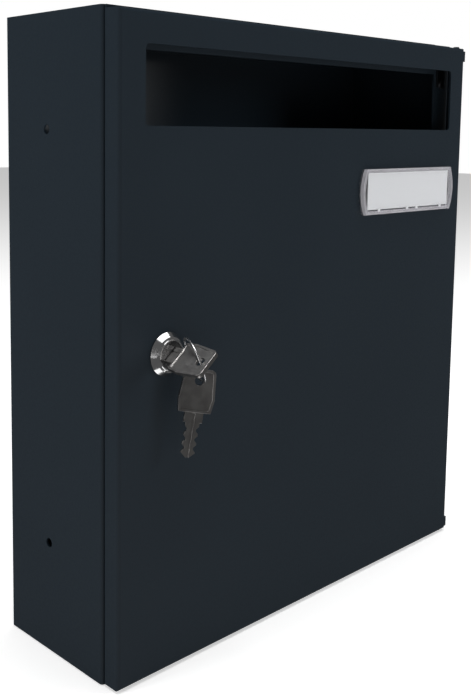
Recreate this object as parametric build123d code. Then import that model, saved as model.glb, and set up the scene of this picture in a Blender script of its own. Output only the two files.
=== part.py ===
"""Wall mounted mailbox: folded steel box, hinged pan door with a letter slot, cam lock with keys, name plate.

Units are millimetres. The origin is the centre of the wall-screw pattern on the back face, +X is the
reader's right, +Y runs into the wall (the door faces -Y) and +Z is up.
"""
from build123d import *
import math
import os

# ---- body ----
body_width = 312.0
body_height = 350.0
body_depth = 85.0
sheet = 1.2
bend_radius = 2.0
frame_flange = 20.0
lip_thickness = 0.9
top_lip_height = 4.5
bottom_lip_height = 6.0
cap_flange = 12.0
flange_trim = 3.0

# ---- door pan ----
door_depth = 12.0
door_gap_left = 1.0
door_gap_right = 1.5
door_gap_top = 2.0
door_gap_bottom = 1.0
return_gap = 1.2
hinge_hem_width = 3.2

# ---- letter slot, placed from the door's edges ----
slot_margin_left = 17.0
slot_margin_right = 16.0
slot_from_top = 16.2
slot_height = 40.2
slot_corner_radius = 2.5

# ---- hinges ----
hinge_from_edge = 4.5
hinge_behind_face = 4.0
hinge_pin_diameter = 3.0
hinge_running_clearance = 0.08
pin_head_diameter = 4.2
pin_head_height = 0.9
pin_tail = 1.8
bracket_thickness = 1.5
bracket_nose_radius = 2.4
bracket_nose_flank = 20.0
bracket_root_slope = 3.0
bracket_root_step = 1.5
bracket_foot_width = 8.0
bracket_foot_length = 25.0
bracket_foot_inset = 7.5
washer_thickness = 0.6
washer_diameter = 4.7
axial_gap = 0.08
through = 1.0
notch_height = 9.0
notch_tab = 0.7
swing_clearance = 0.5
lip_hinge_gap = 16.0
rivet_diameter = 3.0
rivet_head_diameter = 5.0
rivet_head_height = 1.0
rivet_margin = 6.5
rivet_foot_margin = 3.25
rivet_tail_diameter = 4.2
dome_share = 0.7

# ---- holes in the body ----
wall_hole_diameter = 6.5
wall_hole_spacing_x = 200.0
wall_hole_spacing_z = 220.0
side_hole_diameter = 5.2
side_hole_from_front = 47.0
side_hole_from_base = 62.5
side_hole_spacing = 227.0

# ---- cam lock ----
lock_from_left = 33.0
lock_from_base = 174.4
key_angle = 39.0
bezel_diameter = 23.2
bezel_height = 4.3
bezel_rim_diameter = 16.8
bezel_shoulder_diameter = 18.8
bezel_rim_height = 1.0
bezel_base_height = 0.8
bezel_edge = 0.3
barrel_diameter = 19.0
barrel_flats = 16.0
barrel_length = 16.0
barrel_fit = 0.15
thread_pitch = 1.25
thread_depth = 0.5
thread_flank = 0.4
thread_runout = 0.5
lock_nut_fit = 0.02
wafer_channel_depth = 1.2
wafer_channel_margin = 1.5
lock_nut_across_flats = 24.0
lock_nut_thickness = 3.0
plug_diameter = 12.0
plug_head_diameter = 15.0
plug_recess = 0.8
plug_head_length = 2.2
plug_clearance = 0.05
keyway_mouth_width = 9.0
keyway_mouth_thickness = 3.1
keyway_mouth_depth = 0.4
drive_square = 7.0
stud_diameter = 5.0
stud_length = 6.0
wafer_count = 5
wafer_pitch = 2.6
wafer_first = 4.0
wafer_length = 10.8
wafer_width = 4.6
wafer_thickness = 0.8
wafer_clearance = 0.1
cam_thickness = 2.0
cam_width = 13.0
cam_reach = 27.0
cam_crank = 2.5
cam_crank_start = 10.4
cam_crank_end = 14.0
cam_gap = 0.2
cam_tip_radius = 3.9
cam_washer_diameter = 11.0
cam_washer_thickness = 0.8
cam_nut_across_flats = 8.0
cam_nut_thickness = 3.6

# ---- keys ----
blade_length = 18.5
blade_width = 7.6
blade_thickness = 1.9
key_clearance = 0.15
tip_half_width = 1.0
tip_taper = 2.4
notch_depth = 1.35
notch_stations = (-15.5, -10.7, -5.8)
notch_entry = 1.4
notch_floor = 1.0
groove_stop = 0.8
groove_depth = 0.5
wide_groove = (-0.6, 0.6)
narrow_groove = (1.3, 2.0)
shoulder_width = 10.0
shoulder_length = 5.4
bow_length = 22.6
bow_base_width = 17.4
bow_widest = 19.4
bow_widest_at = 7.0
bow_end_width = 16.4
bow_thickness = 2.4
bow_corner_radius = 2.4
bow_rim = 1.3
bow_pocket = 0.35
bow_hole_diameter = 5.0
bow_hole_from_end = 6.0
ring_radius = 12.2
ring_wire = 1.2
ring_side_width = 9.8
ring_side_out = 2.2
ring_tilt = -21.0
spare_station = 2.9
spare_tip_left = 6.7
spare_tip_back = 2.0
spare_face_yaw = -30.0
spare_hole_drop = 1.2

# ---- name plate ----
plate_width = 95.8
plate_height = 28.8
plate_end_bulge = 3.4
plate_from_right = 17.5
plate_below_slot = 25.0
holder_thickness = 1.2
window_thickness = 2.4
window_face = 1.0
window_rim = 2.0
window_edge = 0.5
card_thickness = 0.4
card_clearance = 0.4
peg_diameter = 4.0
peg_length = 4.5
peg_head_diameter = 4.8
peg_head_length = 1.2
peg_fit = 0.1
peg_spacing = 66.0

# ---- derived places ----
left_x = -body_width / 2
right_x = body_width / 2
base_z = -body_height / 2
top_z = body_height / 2
front_y = -body_depth
inner_bend = bend_radius - sheet
door_left = left_x + door_gap_left
door_right = right_x - door_gap_right
door_bottom = base_z + door_gap_bottom
door_top = top_z - door_gap_top
door_face = front_y - door_depth
door_back = front_y - return_gap
panel_back = door_face + sheet
slot_left = door_left + slot_margin_left
slot_right = door_right - slot_margin_right
slot_top = door_top - slot_from_top
slot_bottom = slot_top - slot_height
hinge_x = door_right - hinge_from_edge
hinge_y = door_face + hinge_behind_face
sweep_radius = front_y - hinge_y - swing_clearance
lock_x = left_x + lock_from_left
lock_z = base_z + lock_from_base
plug_face = door_face - bezel_height + plug_recess
barrel_end = door_face + barrel_length
cam_front = barrel_end + cam_gap
cam_back = cam_front + cam_thickness
plate_x = door_right - plate_from_right - plate_width / 2
plate_top = slot_bottom - plate_below_slot
plate_z = plate_top - plate_height / 2
holder_front = door_face - holder_thickness
key_reach = shoulder_length + bow_length
hole_out = key_reach - bow_hole_from_end

outward = Vector(0, -1, 0)
width_dir = Vector(math.cos(math.radians(key_angle)), 0, math.sin(math.radians(key_angle)))
lock_centre = Vector(lock_x, plug_face, lock_z)


# ---- helpers ----
def block(x0, x1, y0, y1, z0, z1):
    """Box between two corners."""
    return Pos((x0 + x1) / 2, (y0 + y1) / 2, (z0 + z1) / 2) * Box(x1 - x0, y1 - y0, z1 - z0)


def rod_y(x, z, radius, y0, y1):
    """Round bar along Y."""
    return Pos(x, (y0 + y1) / 2, z) * Rot(90, 0, 0) * Cylinder(radius, y1 - y0)


def rod_z(x, y, radius, z0, z1):
    """Round bar along Z."""
    return Pos(x, y, (z0 + z1) / 2) * Cylinder(radius, z1 - z0)


def facing(x, y, z):
    """Plane that looks out of the door: local x is +X, local y is +Z, extruding goes towards -Y."""
    return Plane(origin=(x, y, z), x_dir=(1, 0, 0), z_dir=(0, -1, 0))


def lock_plane(y):
    """Plane across the lock's axis: local x is the keyway's width, extruding goes towards -Y."""
    return Plane(origin=(lock_x, y, lock_z), x_dir=width_dir, z_dir=(0, -1, 0))


def along_lock(outline, y0, y1):
    """Prism of a lock-plane outline between two depths, y0 being the nearer to the door's face."""
    return extrude(lock_plane(y1) * outline, y1 - y0)


def hexagon(across_flats):
    return RegularPolygon(across_flats / math.sqrt(3), 6)


# ---- body shells ----
def make_body_wrap():
    outer = RectangleRounded(body_width, body_depth, bend_radius)
    inner = RectangleRounded(body_width - 2 * sheet, body_depth - 2 * sheet, inner_bend)
    doorway = Pos(0, -body_depth / 2) * Rectangle(body_width - 2 * frame_flange, 4 * sheet)
    wrap = Pos(0, -body_depth / 2, base_z) * extrude(outer - inner - doorway, body_height)
    for z0, z1 in ((top_z - sheet, top_z), (base_z, base_z + sheet)):
        wrap -= block(left_x + bend_radius, right_x - bend_radius, front_y, front_y + sheet, z0, z1)
    for x in (-wall_hole_spacing_x / 2, wall_hole_spacing_x / 2):
        for z in (-wall_hole_spacing_z / 2, wall_hole_spacing_z / 2):
            wrap -= rod_y(x, z, wall_hole_diameter / 2, -2 * sheet, sheet)
    side_bar = Rot(0, 90, 0) * Cylinder(side_hole_diameter / 2, body_width + 2 * sheet)
    for z in (side_hole_from_base, side_hole_from_base + side_hole_spacing):
        wrap -= Pos(0, front_y + side_hole_from_front, base_z + z) * side_bar
    for end in (-1, 1):
        for z in bracket_rivet_heights():
            wrap -= rod_y(rivet_x, end * z, rivet_diameter / 2, front_y - sheet, front_y + 2 * sheet)
    return wrap


def make_end_cap(side, lip_height):
    """Tray that closes one end of the wrap; side is +1 for the top and -1 for the bottom."""
    def shelf(x0, x1, y0, y1, depth0, depth1):
        ends = sorted((side * (top_z - depth0), side * (top_z - depth1)))
        return block(x0, x1, y0, y1, ends[0], ends[1])

    outline = RectangleRounded(body_width - 2 * sheet, body_depth - 2 * sheet, inner_bend)
    panel = extrude(outline, sheet)
    cap = Pos(0, -body_depth / 2, top_z - sheet if side == 1 else base_z) * panel
    half = body_width / 2 - bend_radius
    inner_half = body_width / 2 - sheet
    cap += shelf(-half, half, front_y, front_y + 2 * sheet, 0, sheet)
    cap += shelf(-half, hinge_x - lip_hinge_gap, front_y - lip_thickness, front_y, 0, lip_height)
    doorway_half = body_width / 2 - frame_flange
    cap += shelf(-doorway_half, doorway_half, front_y, front_y + sheet, 0, frame_flange)
    trim = sheet + flange_trim
    cap += shelf(-inner_half + flange_trim, inner_half - flange_trim, -2 * sheet, -sheet, 0, cap_flange)
    for x0 in (-inner_half, inner_half - sheet):
        cap += shelf(x0, x0 + sheet, front_y + trim, -trim, 0, cap_flange)
    return cap


# ---- door ----
def flat_sided(diameter, flats):
    return Circle(diameter / 2) & Rectangle(diameter, flats)


def make_door_panel():
    width = door_right - door_left
    height = door_top - door_bottom
    mid_x = (door_left + door_right) / 2
    mid_z = (door_top + door_bottom) / 2
    shell = block(door_left, door_right, door_face, door_back, door_bottom, door_top)
    shell = fillet(shell.faces().sort_by(Axis.Y)[0].edges(), bend_radius)
    room = block(door_left + sheet, door_right - sheet, panel_back, front_y,
                 door_bottom + sheet, door_top - sheet)
    room = fillet(room.faces().sort_by(Axis.Y)[0].edges(), inner_bend)
    door = shell - room
    letter = RectangleRounded(slot_right - slot_left, slot_height, slot_corner_radius)
    slot_place = facing((slot_left + slot_right) / 2, panel_back + sheet, (slot_top + slot_bottom) / 2)
    door -= extrude(slot_place * letter, 3 * sheet)
    lock_hole = flat_sided(barrel_diameter + 2 * barrel_fit, barrel_flats + 2 * barrel_fit)
    door -= along_lock(lock_hole, door_face - through, panel_back + through)
    for x in (plate_x - peg_spacing / 2, plate_x + peg_spacing / 2):
        door -= rod_y(x, plate_z, peg_diameter / 2 + peg_fit, door_face - through, panel_back + through)
    # the returns stop short of the body beside the hinge, so that they clear it as they turn
    return_end = hinge_y + math.sqrt(sweep_radius ** 2 - hinge_from_edge ** 2)
    door -= block(hinge_x, door_right + through, return_end, front_y,
                  door_bottom - through, door_top + through)
    # the hinge-side return ends in a hem that closes the view through the gap, and is notched at its ends
    hem_right = door_right - sheet
    door += block(hem_right - hinge_hem_width, hem_right, return_end - sheet, return_end,
                  door_bottom + notch_height, door_top - notch_height)
    for end in (-1, 1):
        edge = door_top if end == 1 else door_bottom
        inner = edge - end * notch_height
        z0, z1 = sorted((inner, edge - end * sheet))
        door -= block(door_right - bend_radius, door_right + through, panel_back, front_y, z0, z1)
        z0, z1 = sorted((inner, edge - end * bend_radius))
        door += block(door_right - bend_radius, door_right + notch_tab, door_face, panel_back, z0, z1)
        z0, z1 = sorted((edge - end * 2 * sheet, edge + end * through))
        door -= rod_z(hinge_x, hinge_y, hinge_pin_diameter / 2 + hinge_running_clearance, z0, z1)
    return door


# ---- hinges: each is built for the top and mirrored for the bottom about the door's own ends ----
def hinge_level(end):
    """Inner face of the door's return at that end, and the direction that points into the box."""
    return (door_top - sheet, -1) if end == 1 else (door_bottom + sheet, 1)


def layer(end, near, far):
    """Two heights at the given distances inside the door's return, in rising order."""
    level, inward = hinge_level(end)
    return sorted((level + inward * near, level + inward * far))


washer_near = axial_gap
tab_near = washer_near + washer_thickness
tab_far = tab_near + bracket_thickness
rivet_x = hinge_x - bracket_foot_inset


def bracket_rivet_heights():
    """Distances of the rivets from mid-height; both ends use the same ones."""
    tab_height = top_z - max(door_gap_top, door_gap_bottom) - sheet - tab_far
    return (tab_height - bracket_foot_length + rivet_foot_margin, tab_height - rivet_margin)


def make_bracket(end):
    z0, z1 = layer(end, tab_near, tab_far)
    foot_left = rivet_x - bracket_foot_width / 2
    foot_right = rivet_x + bracket_foot_width / 2
    nose = Pos(hinge_x, hinge_y) * Circle(bracket_nose_radius)
    flank = math.radians(bracket_nose_flank)
    root = make_face(Polyline(
        (foot_left, front_y), (foot_right, front_y),
        (hinge_x + bracket_nose_radius * math.cos(flank), hinge_y + bracket_nose_radius * math.sin(flank)),
        (hinge_x, hinge_y - bracket_nose_radius),
        (foot_left + bracket_root_slope, front_y - bracket_root_slope),
        (foot_left, front_y - bracket_root_step), close=True))
    tab = Pos(0, 0, z0) * extrude(nose + root, z1 - z0)
    foot_z0, foot_z1 = layer(end, tab_near, tab_near + bracket_foot_length)
    foot = block(foot_left, foot_right, front_y - bracket_thickness, front_y, foot_z0, foot_z1)
    bracket = tab + foot
    bracket -= rod_z(hinge_x, hinge_y, hinge_pin_diameter / 2, z0 - through, z1 + through)
    for z in bracket_rivet_heights():
        face = front_y - bracket_thickness
        bracket -= rod_y(rivet_x, end * z, rivet_diameter / 2, face - through, front_y + through)
    return bracket


def make_pin(end):
    """The shaft starts at the head's seat just outside the return and ends past the bracket's tab."""
    seat = -(sheet + axial_gap)
    shaft = rod_z(hinge_x, hinge_y, hinge_pin_diameter / 2, *layer(end, seat, tab_far + pin_tail))
    head = rod_z(hinge_x, hinge_y, pin_head_diameter / 2, *layer(end, seat - pin_head_height, seat))
    rim = head.faces().sort_by(Axis.Z)[-1 if end == 1 else 0].edges()
    return shaft + fillet(rim, pin_head_height * dome_share)


def make_hinge_washer(end):
    z0, z1 = layer(end, washer_near, tab_near)
    ring = rod_z(hinge_x, hinge_y, washer_diameter / 2, z0, z1)
    bore = hinge_pin_diameter / 2 + hinge_running_clearance
    return ring - rod_z(hinge_x, hinge_y, bore, z0 - through, z1 + through)


def make_bracket_rivets():
    rivets = []
    head_seat = front_y - bracket_thickness
    tail_seat = front_y + sheet
    for end in (-1, 1):
        for z in bracket_rivet_heights():
            shank = rod_y(rivet_x, end * z, rivet_diameter / 2, head_seat, tail_seat)
            head = rod_y(rivet_x, end * z, rivet_head_diameter / 2, head_seat - rivet_head_height, head_seat)
            head = fillet(head.faces().sort_by(Axis.Y)[0].edges(), rivet_head_height * dome_share)
            tail = rod_y(rivet_x, end * z, rivet_tail_diameter / 2, tail_seat, tail_seat + rivet_head_height)
            rivets.append(shank + head + tail)
    return Compound(children=rivets)


# ---- cam lock ----
def thread_grooves(y0, y1):
    """Ring grooves that stand for the barrel's thread between two depths."""
    outer = barrel_diameter / 2 + thread_flank * thread_depth
    root = barrel_diameter / 2 - thread_depth
    half_tooth = thread_pitch * thread_flank
    grooves = []
    for i in range(int((y1 - y0) / thread_pitch)):
        y = y0 + (i + 0.5) * thread_pitch
        tooth = make_face(Polyline((outer, y - half_tooth), (root, y), (outer, y + half_tooth), close=True))
        grooves.append(Pos(lock_x, 0, lock_z) * revolve(tooth, Axis.Y))
    return grooves


def make_lock_housing():
    rim = bezel_rim_diameter / 2
    front = door_face - bezel_height
    bezel = make_face(Polyline(
        (0, door_face), (bezel_diameter / 2, door_face), (bezel_diameter / 2, door_face - bezel_base_height),
        (bezel_shoulder_diameter / 2, front + bezel_rim_height), (rim, front + bezel_edge),
        (rim - bezel_edge, front), (0, front), close=True))
    housing = Pos(lock_x, 0, lock_z) * revolve(bezel, Axis.Y)
    housing += along_lock(flat_sided(barrel_diameter, barrel_flats), door_face, barrel_end)
    for groove in thread_grooves(panel_back + thread_runout, barrel_end - thread_runout):
        housing -= groove
    head_seat = plug_face + plug_head_length
    head_bore = plug_head_diameter / 2 + plug_clearance
    housing -= rod_y(lock_x, lock_z, head_bore, front - through, head_seat + plug_clearance)
    housing -= rod_y(lock_x, lock_z, plug_diameter / 2 + plug_clearance, front, barrel_end + through)
    channel = Rectangle(plug_diameter + 2 * wafer_channel_depth, wafer_width + 2 * wafer_clearance)
    housing -= along_lock(channel, head_seat + wafer_channel_margin, barrel_end - wafer_channel_margin)
    return housing


def make_lock_nut():
    nut_end = panel_back + lock_nut_thickness
    nut = along_lock(hexagon(lock_nut_across_flats), panel_back, nut_end)
    bore = barrel_diameter / 2 + lock_nut_fit
    return nut - rod_y(lock_x, lock_z, bore, panel_back - through, nut_end + through)


def keyway_outline():
    return Rectangle(blade_width + 2 * key_clearance, blade_thickness + 2 * key_clearance)


def wafer_depths():
    return [plug_face + wafer_first + i * wafer_pitch for i in range(wafer_count)]


def make_lock_plug():
    head_end = plug_face + plug_head_length
    plug = rod_y(lock_x, lock_z, plug_head_diameter / 2, plug_face, head_end)
    plug += rod_y(lock_x, lock_z, plug_diameter / 2, head_end, barrel_end)
    plug += along_lock(Rectangle(drive_square, drive_square), barrel_end, cam_back)
    plug += rod_y(lock_x, lock_z, stud_diameter / 2, cam_back, cam_back + stud_length)
    plug -= along_lock(keyway_outline(), plug_face - through, plug_face + blade_length + key_clearance)
    mouth = Rectangle(keyway_mouth_width, keyway_mouth_thickness)
    plug -= along_lock(mouth, plug_face - through, plug_face + keyway_mouth_depth)
    wafer_slot = Rectangle(plug_diameter + 2 * through, wafer_width + 2 * wafer_clearance)
    for y in wafer_depths():
        plug -= along_lock(wafer_slot, y - wafer_clearance, y + wafer_thickness + wafer_clearance)
    return plug


def make_lock_wafers():
    outline = Rectangle(wafer_length, wafer_width) - keyway_outline()
    return Compound(children=[along_lock(outline, y, y + wafer_thickness) for y in wafer_depths()])


def make_lock_cam():
    """Cranked arm that hangs straight down when the lock is open; its square hole follows the keyway."""
    tip_front = cam_front - cam_crank
    tip_back = tip_front + cam_thickness
    arm = make_face(Polyline(
        (cam_front, 0), (cam_back, 0), (cam_back, -cam_crank_start), (tip_back, -cam_crank_end),
        (tip_back, -cam_reach), (tip_front, -cam_reach), (tip_front, -cam_crank_end),
        (cam_front, -cam_crank_start), close=True))
    side_plane = Plane(origin=(lock_x - cam_width / 2, 0, lock_z), x_dir=(0, 1, 0), z_dir=(1, 0, 0))
    cam = extrude(side_plane * arm, cam_width)
    tips = cam.edges().filter_by(Axis.Y).sort_by(Axis.Z)[0:2]
    cam = fillet(tips, cam_tip_radius)
    cam += rod_y(lock_x, lock_z, cam_width / 2, cam_front, cam_back)
    hole = Rectangle(drive_square + 2 * plug_clearance, drive_square + 2 * plug_clearance)
    return cam - along_lock(hole, cam_front - through, cam_back + through)


def make_cam_washer():
    washer_end = cam_back + cam_washer_thickness
    disc = rod_y(lock_x, lock_z, cam_washer_diameter / 2, cam_back, washer_end)
    bore = stud_diameter / 2 + plug_clearance
    return disc - rod_y(lock_x, lock_z, bore, cam_back - through, washer_end + through)


def make_cam_nut():
    start = cam_back + cam_washer_thickness
    end = start + cam_nut_thickness
    nut = along_lock(hexagon(cam_nut_across_flats), start, end)
    return nut - rod_y(lock_x, lock_z, stud_diameter / 2 + lock_nut_fit, start - through, end + through)


# ---- keys: local x is the width, local y points from the blade to the bow, the shoulder stop is y = 0 ----
def bow_outline(inset):
    half_base = bow_base_width / 2 - inset
    half_wide = bow_widest / 2 - inset
    half_end = bow_end_width / 2 - inset
    start = shoulder_length + inset
    points = [(half_base, start), (half_wide, shoulder_length + bow_widest_at), (half_end, key_reach - inset)]
    mirrored = [(-x, y) for x, y in reversed(points)]
    face = make_face(Polyline(*points, *mirrored, close=True))
    far_corners = face.vertices().sort_by(Axis.Y)[-2:]
    return fillet(far_corners, bow_corner_radius - inset)


def make_key():
    half = blade_width / 2
    neck = half - notch_depth
    half_shoulder = shoulder_width / 2
    edge = [(tip_half_width, -blade_length), (half, tip_taper - blade_length)]
    for y in notch_stations:
        floor_end = y + notch_entry + notch_floor
        edge += [(half, y), (neck, y + notch_entry), (neck, floor_end), (half, floor_end + notch_entry)]
    edge += [(half, 0.0), (half_shoulder, 0.0), (half_shoulder, shoulder_length + bow_rim)]
    mirrored = [(-x, y) for x, y in reversed(edge)]
    blade = extrude(make_face(Polyline(*edge, *mirrored, close=True)), blade_thickness / 2, both=True)
    groove_start = -blade_length - through
    groove_end = shoulder_length - groove_stop
    floor = blade_thickness / 2 - groove_depth
    blade -= block(*wide_groove, groove_start, groove_end, floor, blade_thickness)
    blade -= block(*narrow_groove, groove_start, groove_end, -blade_thickness, -floor)
    bow = extrude(bow_outline(0), bow_thickness / 2, both=True)
    for level in (bow_thickness / 2 - bow_pocket, -bow_thickness / 2):
        bow -= Pos(0, 0, level) * extrude(bow_outline(bow_rim), bow_pocket)
    key = blade + bow
    return key - Pos(0, hole_out, 0) * Cylinder(bow_hole_diameter / 2, 2 * bow_thickness)


def key_in_lock_plane():
    return Plane(origin=lock_centre, x_dir=width_dir, z_dir=width_dir.cross(outward))


def ring_frame():
    """Centre, along and down directions of the key ring: it runs through the bow's hole and past its edge."""
    hole = lock_centre + outward * hole_out
    beside = lock_centre + width_dir * ring_side_width + outward * ring_side_out
    along = (beside - hole).normalized()
    down = Vector(0, 0, -1)
    down = (down - along * down.dot(along)).normalized()
    tilt = math.radians(ring_tilt)
    down = down * math.cos(tilt) + along.cross(down) * math.sin(tilt)
    half_chord = (beside - hole).length / 2
    centre = (hole + beside) * 0.5 + down * math.sqrt(ring_radius ** 2 - half_chord ** 2)
    return centre, along, down


def make_key_ring():
    centre, along, down = ring_frame()
    lie = Plane(origin=centre, x_dir=along, z_dir=along.cross(down)).location
    return lie * Torus(ring_radius, ring_wire / 2)


def spare_key_plane():
    """The spare key hangs from the ring by the far side of its hole, its tip a little aside."""
    centre, along, down = ring_frame()
    station = math.radians(spare_station)
    hook = centre + down * (ring_radius * math.cos(station)) + along * (ring_radius * math.sin(station))
    length = blade_length + hole_out
    drop = math.sqrt(length ** 2 - spare_tip_back ** 2 - spare_tip_left ** 2)
    hang = Vector(-spare_tip_left, spare_tip_back, -drop).normalized()
    yaw = math.radians(spare_face_yaw)
    face = Vector(math.sin(yaw), -math.cos(yaw), 0)
    face = (face - hang * face.dot(hang)).normalized()
    up = hang * -1
    return Plane(origin=hook + hang * (hole_out + spare_hole_drop), x_dir=up.cross(face), z_dir=face)


# ---- name plate ----
def plate_outline(inset):
    half_w = plate_width / 2 - inset
    half_h = plate_height / 2 - inset
    top = Line((-half_w, half_h), (half_w, half_h))
    right = ThreePointArc((half_w, half_h), (half_w + plate_end_bulge, 0), (half_w, -half_h))
    bottom = Line((half_w, -half_h), (-half_w, -half_h))
    left = ThreePointArc((-half_w, -half_h), (-half_w - plate_end_bulge, 0), (-half_w, half_h))
    return make_face(top + right + bottom + left)


def make_nameplate_holder():
    holder = extrude(facing(plate_x, door_face, plate_z) * plate_outline(0), holder_thickness)
    peg_end = door_face + peg_length
    for x in (plate_x - peg_spacing / 2, plate_x + peg_spacing / 2):
        holder += rod_y(x, plate_z, peg_diameter / 2, door_face, peg_end)
        holder += rod_y(x, plate_z, peg_head_diameter / 2, peg_end - peg_head_length, peg_end)
    return holder


def card_size():
    width = plate_width - 2 * window_rim - 2 * card_clearance
    height = plate_height - 2 * window_rim - 2 * card_clearance
    return width, height


def make_nameplate_window():
    window = extrude(facing(plate_x, holder_front, plate_z) * plate_outline(0), window_thickness)
    window = chamfer(window.faces().sort_by(Axis.Y)[0].edges(), window_edge)
    width, height = card_size()
    recess = Rectangle(width + 2 * card_clearance, height + 2 * card_clearance)
    window -= extrude(facing(plate_x, holder_front, plate_z) * recess, window_thickness - window_face)
    return window


def make_name_card():
    width, height = card_size()
    card_back = holder_front - (window_thickness - window_face - card_thickness)
    return extrude(facing(plate_x, card_back, plate_z) * Rectangle(width, height), card_thickness)


parts = {
    "body_wrap": make_body_wrap(),
    "top_cap": make_end_cap(1, top_lip_height),
    "bottom_cap": make_end_cap(-1, bottom_lip_height),
    "door_panel": make_door_panel(),
    "hinge_bracket_upper": make_bracket(1),
    "hinge_bracket_lower": make_bracket(-1),
    "hinge_pin_upper": make_pin(1),
    "hinge_pin_lower": make_pin(-1),
    "hinge_washer_upper": make_hinge_washer(1),
    "hinge_washer_lower": make_hinge_washer(-1),
    "bracket_rivets": make_bracket_rivets(),
    "lock_housing": make_lock_housing(),
    "lock_nut": make_lock_nut(),
    "lock_plug": make_lock_plug(),
    "lock_wafers": make_lock_wafers(),
    "lock_cam": make_lock_cam(),
    "cam_washer": make_cam_washer(),
    "cam_nut": make_cam_nut(),
    "key_in_lock": key_in_lock_plane().location * make_key(),
    "key_ring": make_key_ring(),
    "spare_key": spare_key_plane().location * make_key(),
    "nameplate_holder": make_nameplate_holder(),
    "nameplate_window": make_nameplate_window(),
    "name_card": make_name_card(),
}

os.makedirs("parts", exist_ok=True)
for name, solid in parts.items():
    export_step(solid, f"parts/{name}.step")
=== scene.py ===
"""Looks for the wall mounted mailbox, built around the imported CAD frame. Metres, in the row frame."""
import math

import bmesh
import bpy
from mathutils import Matrix, Vector


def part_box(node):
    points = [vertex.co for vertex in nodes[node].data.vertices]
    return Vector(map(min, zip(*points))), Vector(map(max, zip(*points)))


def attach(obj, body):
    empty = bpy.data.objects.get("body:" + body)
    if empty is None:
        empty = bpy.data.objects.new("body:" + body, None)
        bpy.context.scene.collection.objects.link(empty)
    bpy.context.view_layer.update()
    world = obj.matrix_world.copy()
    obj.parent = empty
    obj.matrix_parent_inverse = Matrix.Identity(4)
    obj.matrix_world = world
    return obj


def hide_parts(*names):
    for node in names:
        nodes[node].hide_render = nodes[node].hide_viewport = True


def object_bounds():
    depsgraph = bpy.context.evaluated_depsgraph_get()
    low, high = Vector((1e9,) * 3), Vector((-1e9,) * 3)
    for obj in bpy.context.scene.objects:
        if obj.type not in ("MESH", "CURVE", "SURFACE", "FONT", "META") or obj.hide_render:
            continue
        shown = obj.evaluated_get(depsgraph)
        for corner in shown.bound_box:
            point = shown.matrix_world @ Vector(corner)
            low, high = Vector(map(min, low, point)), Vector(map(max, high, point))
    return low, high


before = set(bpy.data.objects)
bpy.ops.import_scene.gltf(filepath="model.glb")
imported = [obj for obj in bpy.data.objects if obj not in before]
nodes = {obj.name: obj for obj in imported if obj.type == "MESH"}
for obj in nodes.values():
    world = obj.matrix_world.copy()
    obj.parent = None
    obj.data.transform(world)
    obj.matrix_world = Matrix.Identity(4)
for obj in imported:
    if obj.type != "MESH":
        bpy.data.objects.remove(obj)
cad_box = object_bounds()
scene = bpy.context.scene
mm = 0.001


# ---- node helpers ----
def new_material(name):
    """Material with a Principled shader: its tree, shader and object coordinates too."""
    mat = bpy.data.materials.new(name)
    mat.use_nodes = True
    tree = mat.node_tree
    tree.nodes.clear()
    out = tree.nodes.new("ShaderNodeOutputMaterial")
    shader = tree.nodes.new("ShaderNodeBsdfPrincipled")
    tree.links.new(shader.outputs["BSDF"], out.inputs["Surface"])
    coord = tree.nodes.new("ShaderNodeTexCoord")
    return mat, tree, shader, coord.outputs["Object"]


def noise(tree, vector, scale, detail=2.0, rough=0.5, stretch=None):
    """Noise value whose features are about 1 / scale metres; stretch lengthens it along an axis."""
    if stretch:
        mapping = tree.nodes.new("ShaderNodeMapping")
        mapping.inputs["Scale"].default_value = stretch
        tree.links.new(vector, mapping.inputs["Vector"])
        vector = mapping.outputs["Vector"]
    node = tree.nodes.new("ShaderNodeTexNoise")
    node.inputs["Scale"].default_value = scale
    node.inputs["Detail"].default_value = detail
    node.inputs["Roughness"].default_value = rough
    tree.links.new(vector, node.inputs["Vector"])
    return node.outputs["Fac"]


def ramp(tree, value, low, high, low_at=0.35, high_at=0.65):
    """Value or colour that goes from low to high as the input passes between the two stops."""
    node = tree.nodes.new("ShaderNodeValToRGB")
    node.color_ramp.elements[0].position = low_at
    node.color_ramp.elements[1].position = high_at
    as_colour = lambda v: tuple(v) + (1.0,) if hasattr(v, "__len__") else (v, v, v, 1.0)
    node.color_ramp.elements[0].color = as_colour(low)
    node.color_ramp.elements[1].color = as_colour(high)
    tree.links.new(value, node.inputs["Fac"])
    return node.outputs["Color"]


def bump(tree, shader, height, strength, distance, under=None):
    """Bump on the shader, on top of another bump's normal where one is given."""
    node = tree.nodes.new("ShaderNodeBump")
    node.inputs["Strength"].default_value = strength
    node.inputs["Distance"].default_value = distance
    tree.links.new(height, node.inputs["Height"])
    if under:
        tree.links.new(under, node.inputs["Normal"])
    tree.links.new(node.outputs["Normal"], shader.inputs["Normal"])
    return node.outputs["Normal"]


# ---- materials ----
def powder_coat(name, base, dark, roughness):
    """Satin powder coat: orange peel, a fine grain and slight changes of tone."""
    mat, tree, shader, at = new_material(name)
    tone = noise(tree, at, 9.0, 3.0)
    tree.links.new(ramp(tree, tone, dark, base), shader.inputs["Base Color"])
    gloss = noise(tree, at, 700.0, 2.0)
    tree.links.new(ramp(tree, gloss, roughness - 0.05, roughness + 0.05), shader.inputs["Roughness"])
    shader.inputs["Specular IOR Level"].default_value = 0.3
    peel = bump(tree, shader, noise(tree, at, 420.0, 1.5), 0.35, 0.00006)
    bump(tree, shader, noise(tree, at, 2600.0, 2.0), 0.25, 0.00002, peel)
    return mat


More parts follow.
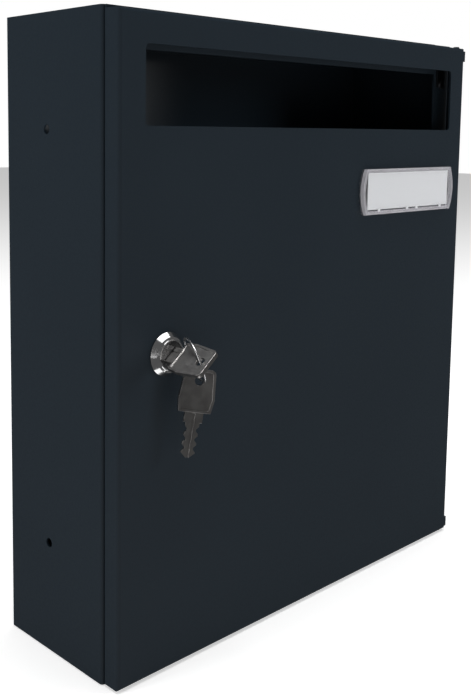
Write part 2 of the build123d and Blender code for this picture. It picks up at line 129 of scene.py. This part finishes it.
def metal(name, colour, dark, roughness, spread, grain=(1.0, 1.0, 1.0), grain_scale=900.0, depth=0.00001):
    """Plated or machined metal: slight changes of tone, and a grain in its roughness and bump."""
    mat, tree, shader, at = new_material(name)
    shader.inputs["Metallic"].default_value = 1.0
    tone = noise(tree, at, 160.0, 3.0)
    tree.links.new(ramp(tree, tone, dark, colour), shader.inputs["Base Color"])
    streak = noise(tree, at, grain_scale, 3.0, 0.6, grain)
    tree.links.new(ramp(tree, streak, roughness - spread, roughness + spread), shader.inputs["Roughness"])
    bump(tree, shader, streak, 0.3, depth)
    return mat


def clear_plastic(name, colour, alpha):
    """Clear moulded plastic seen as a thin tinted film, so that light still reaches what is behind it."""
    mat, tree, shader, at = new_material(name)
    haze = noise(tree, at, 260.0, 2.0)
    tree.links.new(ramp(tree, haze, [0.9 * c for c in colour], colour), shader.inputs["Base Color"])
    shader.inputs["Alpha"].default_value = alpha
    shader.inputs["IOR"].default_value = 1.49
    tree.links.new(ramp(tree, haze, 0.06, 0.12), shader.inputs["Roughness"])
    bump(tree, shader, haze, 0.15, 0.00002)
    return mat


def card_stock():
    """Matt white card with a faint fibre."""
    mat, tree, shader, at = new_material("card_look")
    fibre = noise(tree, at, 900.0, 4.0, 0.6, (1.0, 1.0, 2.5))
    tree.links.new(ramp(tree, fibre, (0.60, 0.61, 0.63), (0.68, 0.69, 0.71)), shader.inputs["Base Color"])
    shader.inputs["Roughness"].default_value = 0.7
    bump(tree, shader, fibre, 0.2, 0.00002)
    return mat


def nylon():
    """Natural nylon, a little mottled."""
    mat, tree, shader, at = new_material("nylon_look")
    mottle = noise(tree, at, 500.0, 2.0)
    tree.links.new(ramp(tree, mottle, (0.60, 0.58, 0.52), (0.70, 0.68, 0.62)), shader.inputs["Base Color"])
    tree.links.new(ramp(tree, mottle, 0.4, 0.55), shader.inputs["Roughness"])
    return mat


anthracite = powder_coat("powder_coat_look", (0.0135, 0.0214, 0.0296), (0.0126, 0.0201, 0.0280), 0.5)
chrome = metal("lock_chrome_look", (0.80, 0.80, 0.80), (0.70, 0.70, 0.71), 0.11, 0.03, depth=0.000002)
plug_metal = metal("lock_plug_look", (0.26, 0.26, 0.26), (0.18, 0.18, 0.19), 0.3, 0.08)
zinc = metal("zinc_steel_look", (0.36, 0.37, 0.39), (0.26, 0.27, 0.29), 0.38, 0.08)
brass = metal("lock_brass_look", (0.70, 0.52, 0.24), (0.55, 0.40, 0.18), 0.3, 0.08)
nickel = metal("key_nickel_look", (0.45, 0.44, 0.43), (0.34, 0.33, 0.325), 0.40, 0.08,
               (1.0, 1.0, 0.15), 1800.0, 0.000003)
wire = metal("ring_wire_look", (0.75, 0.75, 0.76), (0.60, 0.60, 0.61), 0.26, 0.06)
clear = clear_plastic("clear_plastic_look", (0.62, 0.62, 0.66), 0.16)
# the rim's film is paler and far more opaque than the pane's: a painted reflection standing in for the
# light its slanted ridges and walls catch, over the plastic's own faint tint
rim_painted_reflection = clear_plastic("clear_rim_look", (0.66, 0.65, 0.69), 0.42)
clear_pane = clear_plastic("clear_pane_look", (0.80, 0.80, 0.82), 0.05)
card = card_stock()
nylon_mat = nylon()

looks = {
    "body_wrap": anthracite, "top_cap": anthracite, "bottom_cap": anthracite, "door_panel": anthracite,
    "hinge_pin_upper": anthracite, "hinge_pin_lower": anthracite,
    "hinge_bracket_upper": zinc, "hinge_bracket_lower": zinc, "bracket_rivets": zinc,
    "hinge_washer_upper": nylon_mat, "hinge_washer_lower": nylon_mat,
    "lock_housing": chrome, "lock_nut": zinc, "lock_plug": plug_metal, "lock_wafers": brass,
    "lock_cam": zinc, "cam_washer": zinc, "cam_nut": zinc,
    "key_in_lock": nickel, "key_ring": wire, "spare_key": nickel,
    "nameplate_holder": clear, "nameplate_window": clear, "name_card": card,
}
for name, mat in looks.items():
    data = nodes[name].data
    data.materials.clear()
    data.materials.append(mat)


# ---- mesh helpers ----
def add_piece(name, mesh, body, material=None):
    """New object on a body, with the given material when one is given."""
    piece = bpy.data.objects.new(name, mesh)
    scene.collection.objects.link(piece)
    if material:
        mesh.materials.append(material)
    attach(piece, body)
    return piece


weld_distance = 1e-6
flat_angle = math.radians(1.0)
sharp_angle = math.radians(28.0)


def edged_copy(node, body, width):
    """The CAD shape with its coplanar faces joined and its sharp edges rounded by the given width."""
    mesh = nodes[node].data.copy()
    mesh.name = node + "_edged"
    bm = bmesh.new()
    bm.from_mesh(mesh)
    bmesh.ops.remove_doubles(bm, verts=bm.verts, dist=weld_distance)
    bmesh.ops.dissolve_limit(bm, angle_limit=flat_angle, verts=bm.verts, edges=bm.edges)
    bm.to_mesh(mesh)
    bm.free()
    piece = add_piece(node + "_edged", mesh, body)
    bevel = piece.modifiers.new("edges", "BEVEL")
    bevel.width = width
    bevel.segments = 2
    bevel.limit_method = "ANGLE"
    bevel.angle_limit = sharp_angle
    bevel.use_clamp_overlap = True
    bevel.harden_normals = True
    depsgraph = bpy.context.evaluated_depsgraph_get()
    rounded = bpy.data.meshes.new_from_object(piece.evaluated_get(depsgraph))
    piece.modifiers.clear()
    piece.data = rounded
    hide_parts(node)
    return piece


key_edge = 0.22 * mm
keys = [edged_copy("key_in_lock", "key", key_edge),
        edged_copy("spare_key", "spare", key_edge)]

# ---- name plate: rim with two ridges, flat pane, catches and the card behind it ----
plate_low, plate_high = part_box("nameplate_window")
plate_centre = (plate_low + plate_high) / 2
plate_back = plate_high.y
plate_half_height = (plate_high.z - plate_low.z) / 2
end_bulge = 3.4 * mm
plate_half_width = (plate_high.x - plate_low.x) / 2 - end_bulge
end_steps = 12


def plate_loop(inset, rise):
    """Closed outline of the plate, moved in by inset, at a height above the plate's back."""
    half_w = plate_half_width - inset
    half_h = plate_half_height - inset
    points = []
    for side in (1, -1):
        for i in range(end_steps + 1):
            t = 1.0 - 2.0 * i / end_steps
            x = side * (half_w + end_bulge * (1.0 - t * t))
            points.append((plate_centre.x + x, plate_back - rise, plate_centre.z + side * half_h * t))
    return points


def lofted(name, profile, pane_index):
    """Closed shell through the loops of a profile; the loop at pane_index bounds the pane's front face."""
    mesh = bpy.data.meshes.new(name)
    bm = bmesh.new()
    rings = [[bm.verts.new(p) for p in plate_loop(inset * mm, rise * mm)] for inset, rise in profile]
    count = len(rings[0])
    for lower, upper in zip(rings, rings[1:] + rings[:1]):
        if lower is rings[pane_index]:
            continue
        for i in range(count):
            j = (i + 1) % count
            bm.faces.new((lower[i], lower[j], upper[j], upper[i]))
    for ring in (rings[pane_index], rings[(pane_index + 1) % len(rings)]):
        bm.faces.new(ring).material_index = 1
    bmesh.ops.recalc_face_normals(bm, faces=bm.faces)
    bm.to_mesh(mesh)
    bm.free()
    return mesh


# inset and rise of each loop in millimetres: outer wall, two ridges with a groove between, pane, inner wall
window_profile = (
    (0.0, 0.03), (0.0, 1.8), (0.1, 2.2), (0.4, 2.39), (0.8, 2.36), (1.0, 2.05), (1.35, 2.0), (1.6, 2.3),
    (2.0, 2.3), (2.3, 1.75), (2.2, 1.45), (2.2, 0.03))
pane_index = 9
window_mesh = lofted("plate_window", window_profile, pane_index)
# rim faces take the paler, denser film, a painted reflection; the pane keeps the near-clear film
window_mesh.materials.append(rim_painted_reflection)
window_mesh.materials.append(clear_pane)
window = add_piece("plate_window", window_mesh, "window")
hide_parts("nameplate_window")

card_low, card_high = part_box("name_card")


def rounded_block(name, low, high, radius, material, body):
    """Block between two corners, with rounded edges."""
    mesh = bpy.data.meshes.new(name)
    bm = bmesh.new()
    bmesh.ops.create_cube(bm, size=1.0)
    bmesh.ops.scale(bm, vec=[b - a for a, b in zip(low, high)], verts=bm.verts)
    bmesh.ops.translate(bm, vec=[(a + b) / 2 for a, b in zip(low, high)], verts=bm.verts)
    bmesh.ops.bevel(bm, geom=bm.edges[:], offset=radius, segments=3, profile=0.5, affect="EDGES")
    bm.to_mesh(mesh)
    bm.free()
    return add_piece(name, mesh, body, material)


card_lift = 0.75 * mm
card_edge = 0.12 * mm
card_piece = rounded_block("card_blank", (card_low.x, card_low.y, card_low.z + card_lift), tuple(card_high),
                           card_edge, card, "window")
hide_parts("name_card")
catch_stations = (-34.0, -3.0, 8.0, 36.0)
catch_half_width = 1.3 * mm
catch_front = plate_back - 2.1 * mm
catch_back = plate_back - 1.7 * mm
catch_bottom = plate_low.z + 1.9 * mm
catch_top = card_low.z + card_lift + 0.3 * mm
catch_edge = 0.15 * mm
for i, station in enumerate(catch_stations):
    x = plate_centre.x + station * mm
    low = (x - catch_half_width, catch_front, catch_bottom)
    high = (x + catch_half_width, catch_back, catch_top)
    rounded_block("plate_catch_%d" % i, low, high, catch_edge, card, "window")

# ---- camera ----
camera_place = Vector((-0.4476, -0.4553, 0.1136))
camera_azimuth = math.radians(-42.936)
camera_elevation = math.radians(6.406)
camera_roll = math.radians(0.528)
back = Vector((math.sin(camera_azimuth) * math.cos(camera_elevation),
               -math.cos(camera_azimuth) * math.cos(camera_elevation), math.sin(camera_elevation)))
right = Vector((0, 0, 1)).cross(back).normalized()
up = back.cross(right)
rolled_right = right * math.cos(camera_roll) + up * math.sin(camera_roll)
rolled_up = up * math.cos(camera_roll) - right * math.sin(camera_roll)
camera_data = bpy.data.cameras.new("camera")
camera_data.lens = 49.32
camera_data.sensor_width = 36.0
camera_data.shift_x = 0.0799
camera_data.shift_y = -0.1561
camera_data.clip_start = 0.01
camera = bpy.data.objects.new("camera", camera_data)
camera.matrix_world = Matrix((
    (rolled_right.x, rolled_up.x, back.x, camera_place.x),
    (rolled_right.y, rolled_up.y, back.y, camera_place.y),
    (rolled_right.z, rolled_up.z, back.z, camera_place.z),
    (0, 0, 0, 1)))
scene.collection.objects.link(camera)
scene.camera = camera

# ---- floor, world and lights ----
floor_size = 6.0
floor_gap = 0.5 * mm
floor_level = cad_box[0][2] - floor_gap
floor_mesh = bpy.data.meshes.new("floor")
floor_mesh.from_pydata([(-floor_size, -floor_size, floor_level), (floor_size, -floor_size, floor_level),
                        (floor_size, floor_size, floor_level), (-floor_size, floor_size, floor_level)],
                       [], [(0, 1, 2, 3)])
floor = bpy.data.objects.new("floor", floor_mesh)
scene.collection.objects.link(floor)
floor_mat, _, floor_shader, _ = new_material("floor_look")
floor_shader.inputs["Base Color"].default_value = (0.86, 0.86, 0.86, 1.0)
floor_shader.inputs["Roughness"].default_value = 0.9
floor_shader.inputs["Specular IOR Level"].default_value = 0.1
floor_shader.inputs["Emission Color"].default_value = (1.0, 1.0, 1.0, 1.0)
floor_shader.inputs["Emission Strength"].default_value = 0.45
floor_mesh.materials.append(floor_mat)
floor.visible_glossy = False
floor.visible_shadow = False

# the room gives soft fill, and a white backdrop is seen only by the camera
world = bpy.data.worlds.new("studio")
scene.world = world
world.use_nodes = True
world_tree = world.node_tree
room = world_tree.nodes["Background"]
room.inputs["Color"].default_value = (1.0, 1.0, 1.0, 1.0)
room.inputs["Strength"].default_value = 0.10
backdrop = world_tree.nodes.new("ShaderNodeBackground")
backdrop.inputs["Color"].default_value = (1.0, 1.0, 1.0, 1.0)
backdrop.inputs["Strength"].default_value = 1.0
seen = world_tree.nodes.new("ShaderNodeLightPath")
either = world_tree.nodes.new("ShaderNodeMixShader")
world_tree.links.new(seen.outputs["Is Camera Ray"], either.inputs["Fac"])
world_tree.links.new(room.outputs["Background"], either.inputs[1])
world_tree.links.new(backdrop.outputs["Background"], either.inputs[2])
world_tree.links.new(either.outputs["Shader"], world_tree.nodes["World Output"].inputs["Surface"])


def softbox(name, place, target, width, height, power):
    """Rectangular light at a place, turned to a target."""
    data = bpy.data.lights.new(name, "AREA")
    data.shape = "RECTANGLE"
    data.size = width
    data.size_y = height
    data.energy = power
    light = bpy.data.objects.new(name, data)
    light.location = place
    light.rotation_euler = (Vector(target) - Vector(place)).to_track_quat("-Z", "Y").to_euler()
    scene.collection.objects.link(light)
    return light


# broad lights for the painted faces, hidden from gloss so that no hot spot sits on the flat sheets
for name, place, target, width, height, power in (
        ("overhead", (0.0, -0.2, 2.3), (0.0, -0.2, 0.0), 1.6, 1.6, 50.0),
        ("right_front", (1.05, -1.15, 0.42), (0.0, 0.0, 0.05), 0.55, 0.55, 9.0),
        ("left_side", (-1.45, 0.35, 0.40), (0.0, 0.0, 0.0), 0.6, 0.9, 10.0)):
    softbox(name, place, target, width, height, power).visible_glossy = False
# lights that reach only the polished metal and the clear plastic, or only the keys and their ring
polished = bpy.data.collections.new("polished")
for piece in (nodes["lock_housing"], nodes["lock_plug"], window):
    polished.objects.link(piece)
key_set = bpy.data.collections.new("key_set")
for piece in keys + [nodes["key_ring"]]:
    key_set.objects.link(piece)
zinc_set = bpy.data.collections.new("zinc_set")
for name in ("lock_nut", "lock_cam", "cam_washer", "cam_nut", "lock_wafers"):
    zinc_set.objects.link(nodes[name])
lock_place = (-0.12, -0.1, 0.0)
for name, receivers, place, width, height, power in (
        ("gloss_top", polished, (0.1, -0.45, 1.0), 1.1, 0.3, 2.0),
        ("gloss_low", polished, (-0.1, -0.35, -1.0), 0.6, 0.35, 0.8),
        ("gloss_left", polished, (-1.2, -0.75, 0.1), 0.10, 0.9, 0.35),
        ("gloss_front", polished, (-0.75, -1.15, 0.35), 0.08, 0.9, 0.3),
        ("keys_top", key_set, (-0.35, -0.25, 1.0), 0.5, 0.35, 11.0),
        ("keys_left", key_set, (-1.25, 0.15, -0.15), 0.3, 0.9, 3.0),
        ("keys_low", key_set, (0.0, -0.2, -1.0), 0.8, 0.4, 2.0),
        ("metal_fill", zinc_set, (-0.4, -1.4, 0.6), 1.0, 0.7, 2.5),
        ("metal_back", zinc_set, (0.9, -0.9, 0.9), 0.8, 0.6, 2.5)):
    softbox(name, place, lock_place, width, height, power).light_linking.receiver_collection = receivers

# a narrow beam through the slot, so that the back wall shows behind its left half
inside = bpy.data.collections.new("inside")
inside.objects.link(nodes["body_wrap"])
beam_data = bpy.data.lights.new("slot_beam", "SPOT")
beam_data.energy = 20.0
beam_data.spot_size = math.radians(11.0)
beam_data.spot_blend = 1.0
beam_data.shadow_soft_size = 0.02
beam = bpy.data.objects.new("slot_beam", beam_data)
beam.location = (0.75, -0.85, 0.13)
slot_left_part = Vector((-0.10, -0.09, 0.135))
beam.rotation_euler = (slot_left_part - beam.location).to_track_quat("-Z", "Y").to_euler()
beam.light_linking.receiver_collection = inside
scene.collection.objects.link(beam)

scene.view_settings.view_transform = "Standard"
scene.view_settings.look = "None"
